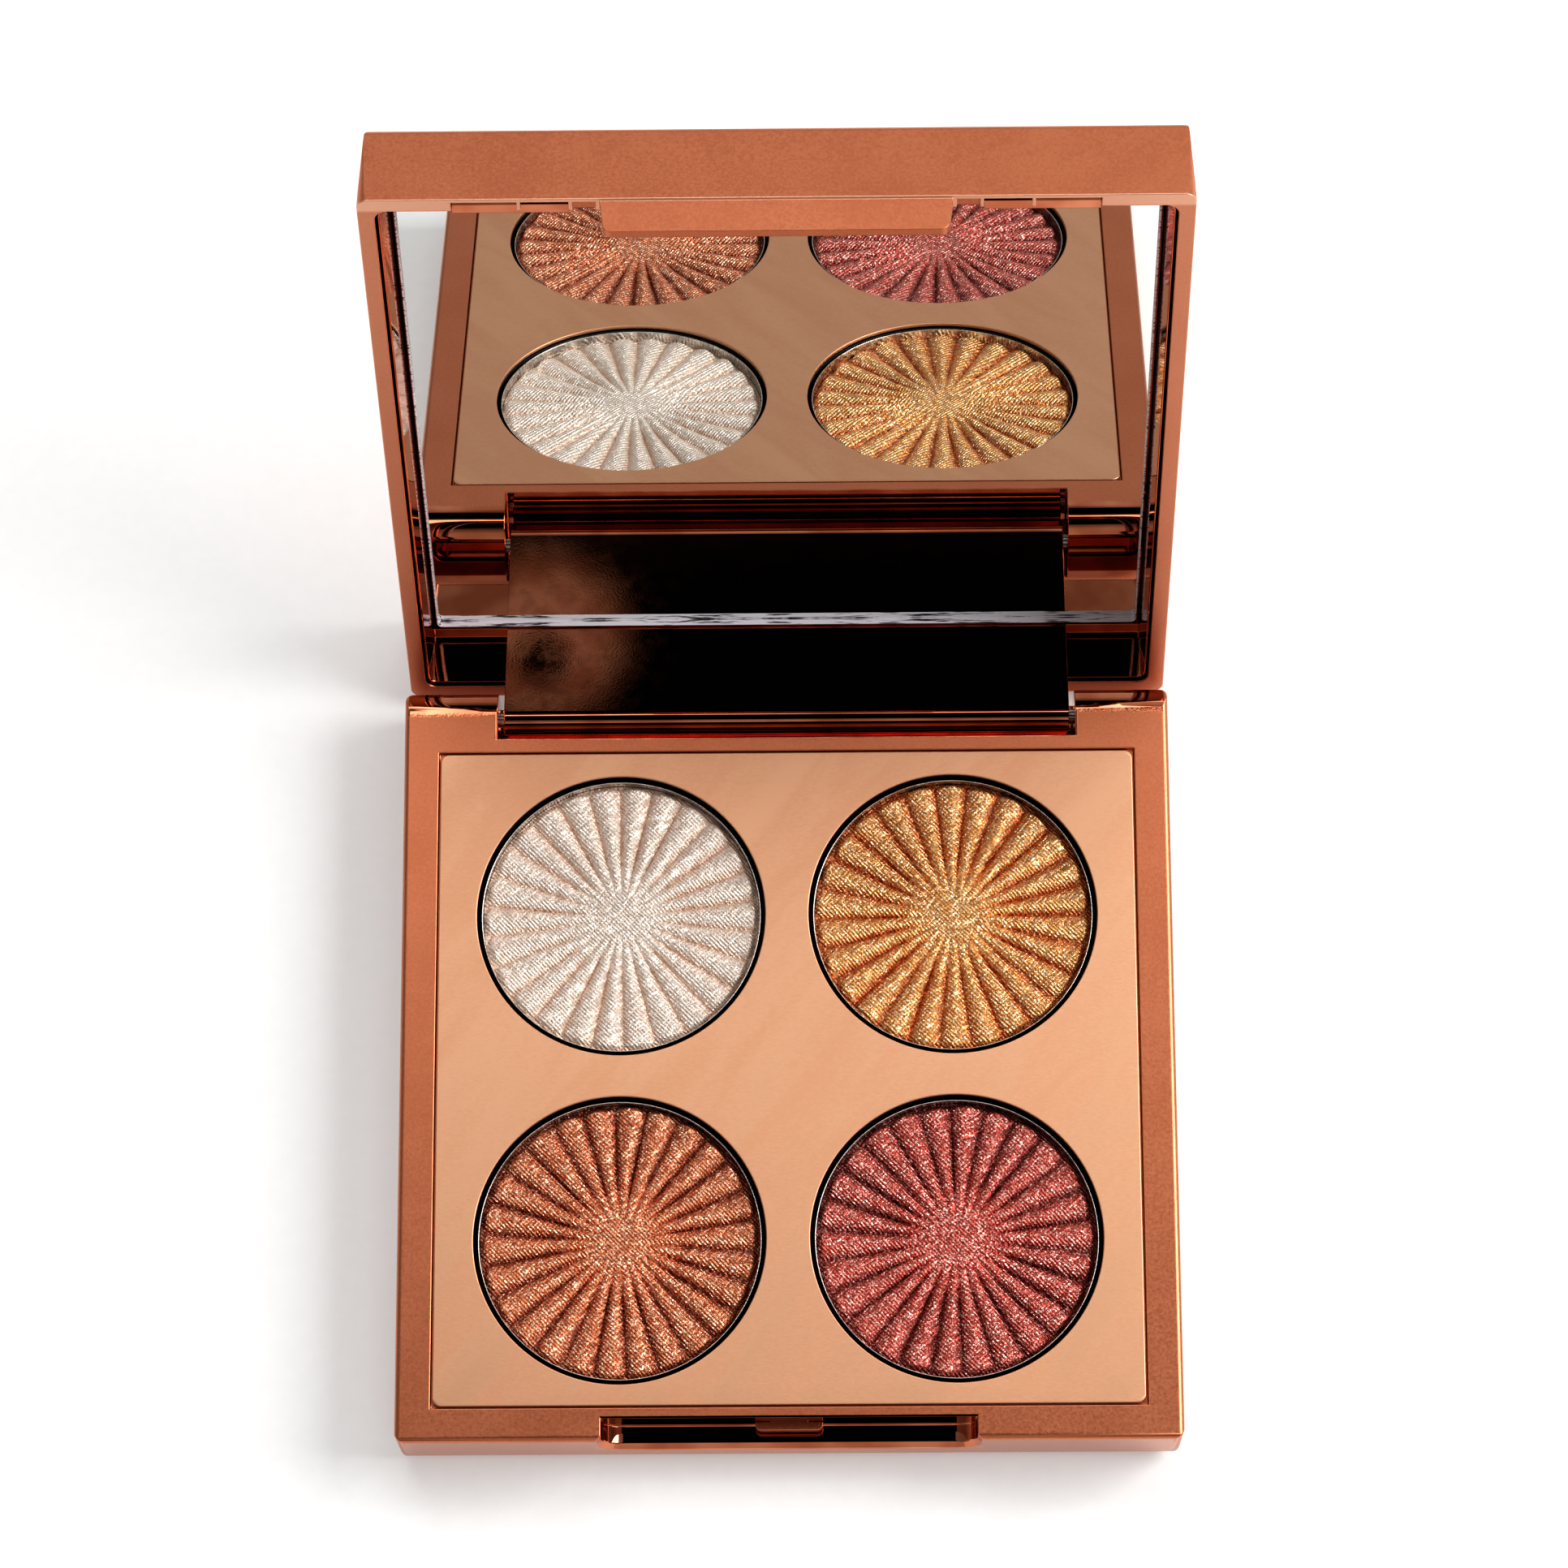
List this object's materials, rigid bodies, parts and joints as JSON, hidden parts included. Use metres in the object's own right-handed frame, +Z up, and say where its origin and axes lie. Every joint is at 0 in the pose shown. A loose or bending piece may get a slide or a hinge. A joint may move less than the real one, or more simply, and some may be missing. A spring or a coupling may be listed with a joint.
{
  "type": "powder compact",
  "caption": "Square rose-gold pressed-powder compact with round sunburst pans in a tray, a thumb notch, and a hinged mirror lid that stands open and folds shut.",
  "frame": {"origin": "middle of the base's flat underside, on the surface that the compact stands on", "axes": "+X to the user's right along the hinge, +Y back towards the hinge, +Z up; the lid stands open at rest"},
  "size_m": [0.102, 0.1478, 0.1009],
  "materials": {
    "satin_rose_gold": "satin metallised rose gold over plastic",
    "polished_rose_gold": "mirror-polished metallised rose gold over plastic",
    "peach_satin": "satin peach-gold lacquer",
    "black_plastic": "matt black moulding",
    "tinplate": "bright rolled tinplate",
    "powder_pearl": "pearlescent pressed powder",
    "powder_gold": "pearlescent pressed powder",
    "powder_bronze": "pearlescent pressed powder",
    "powder_rosewood": "pearlescent pressed powder",
    "glue": "dried adhesive",
    "steel": "drawn steel wire",
    "mirror": "back-silvered glass with ground edges",
    "foam_tape": "double-sided foam",
    "label": "blank white sticker"
  },
  "bodies": {
    "base": {"base_shell": "satin_rose_gold", "pan_tray": "black_plastic", "cover_plate": "peach_satin", "latch_catch": "polished_rose_gold", "bottom_label": "label", "hinge_pin_left": "steel", "hinge_pin_right": "steel", "tin_pearl": "tinplate", "powder_pearl": "powder_pearl", "glue_pearl": "glue", "tin_gold": "tinplate", "powder_gold": "powder_gold", "glue_gold": "glue", "tin_bronze": "tinplate", "powder_bronze": "powder_bronze", "glue_bronze": "glue", "tin_rosewood": "tinplate", "powder_rosewood": "powder_rosewood", "glue_rosewood": "glue"},
    "lid": {"lid_cover": "satin_rose_gold", "lid_frame": "polished_rose_gold", "mirror_glass": "mirror", "mirror_tape": "foam_tape"}
  },
  "joints": [
    {"name": "lid_hinge", "type": "hinge", "parent": "base", "child": "lid", "pos_m": [0, 0.0482, 0.00755], "axis": [1, 0, 0], "range_deg": [0, 108.6]}
  ]
}
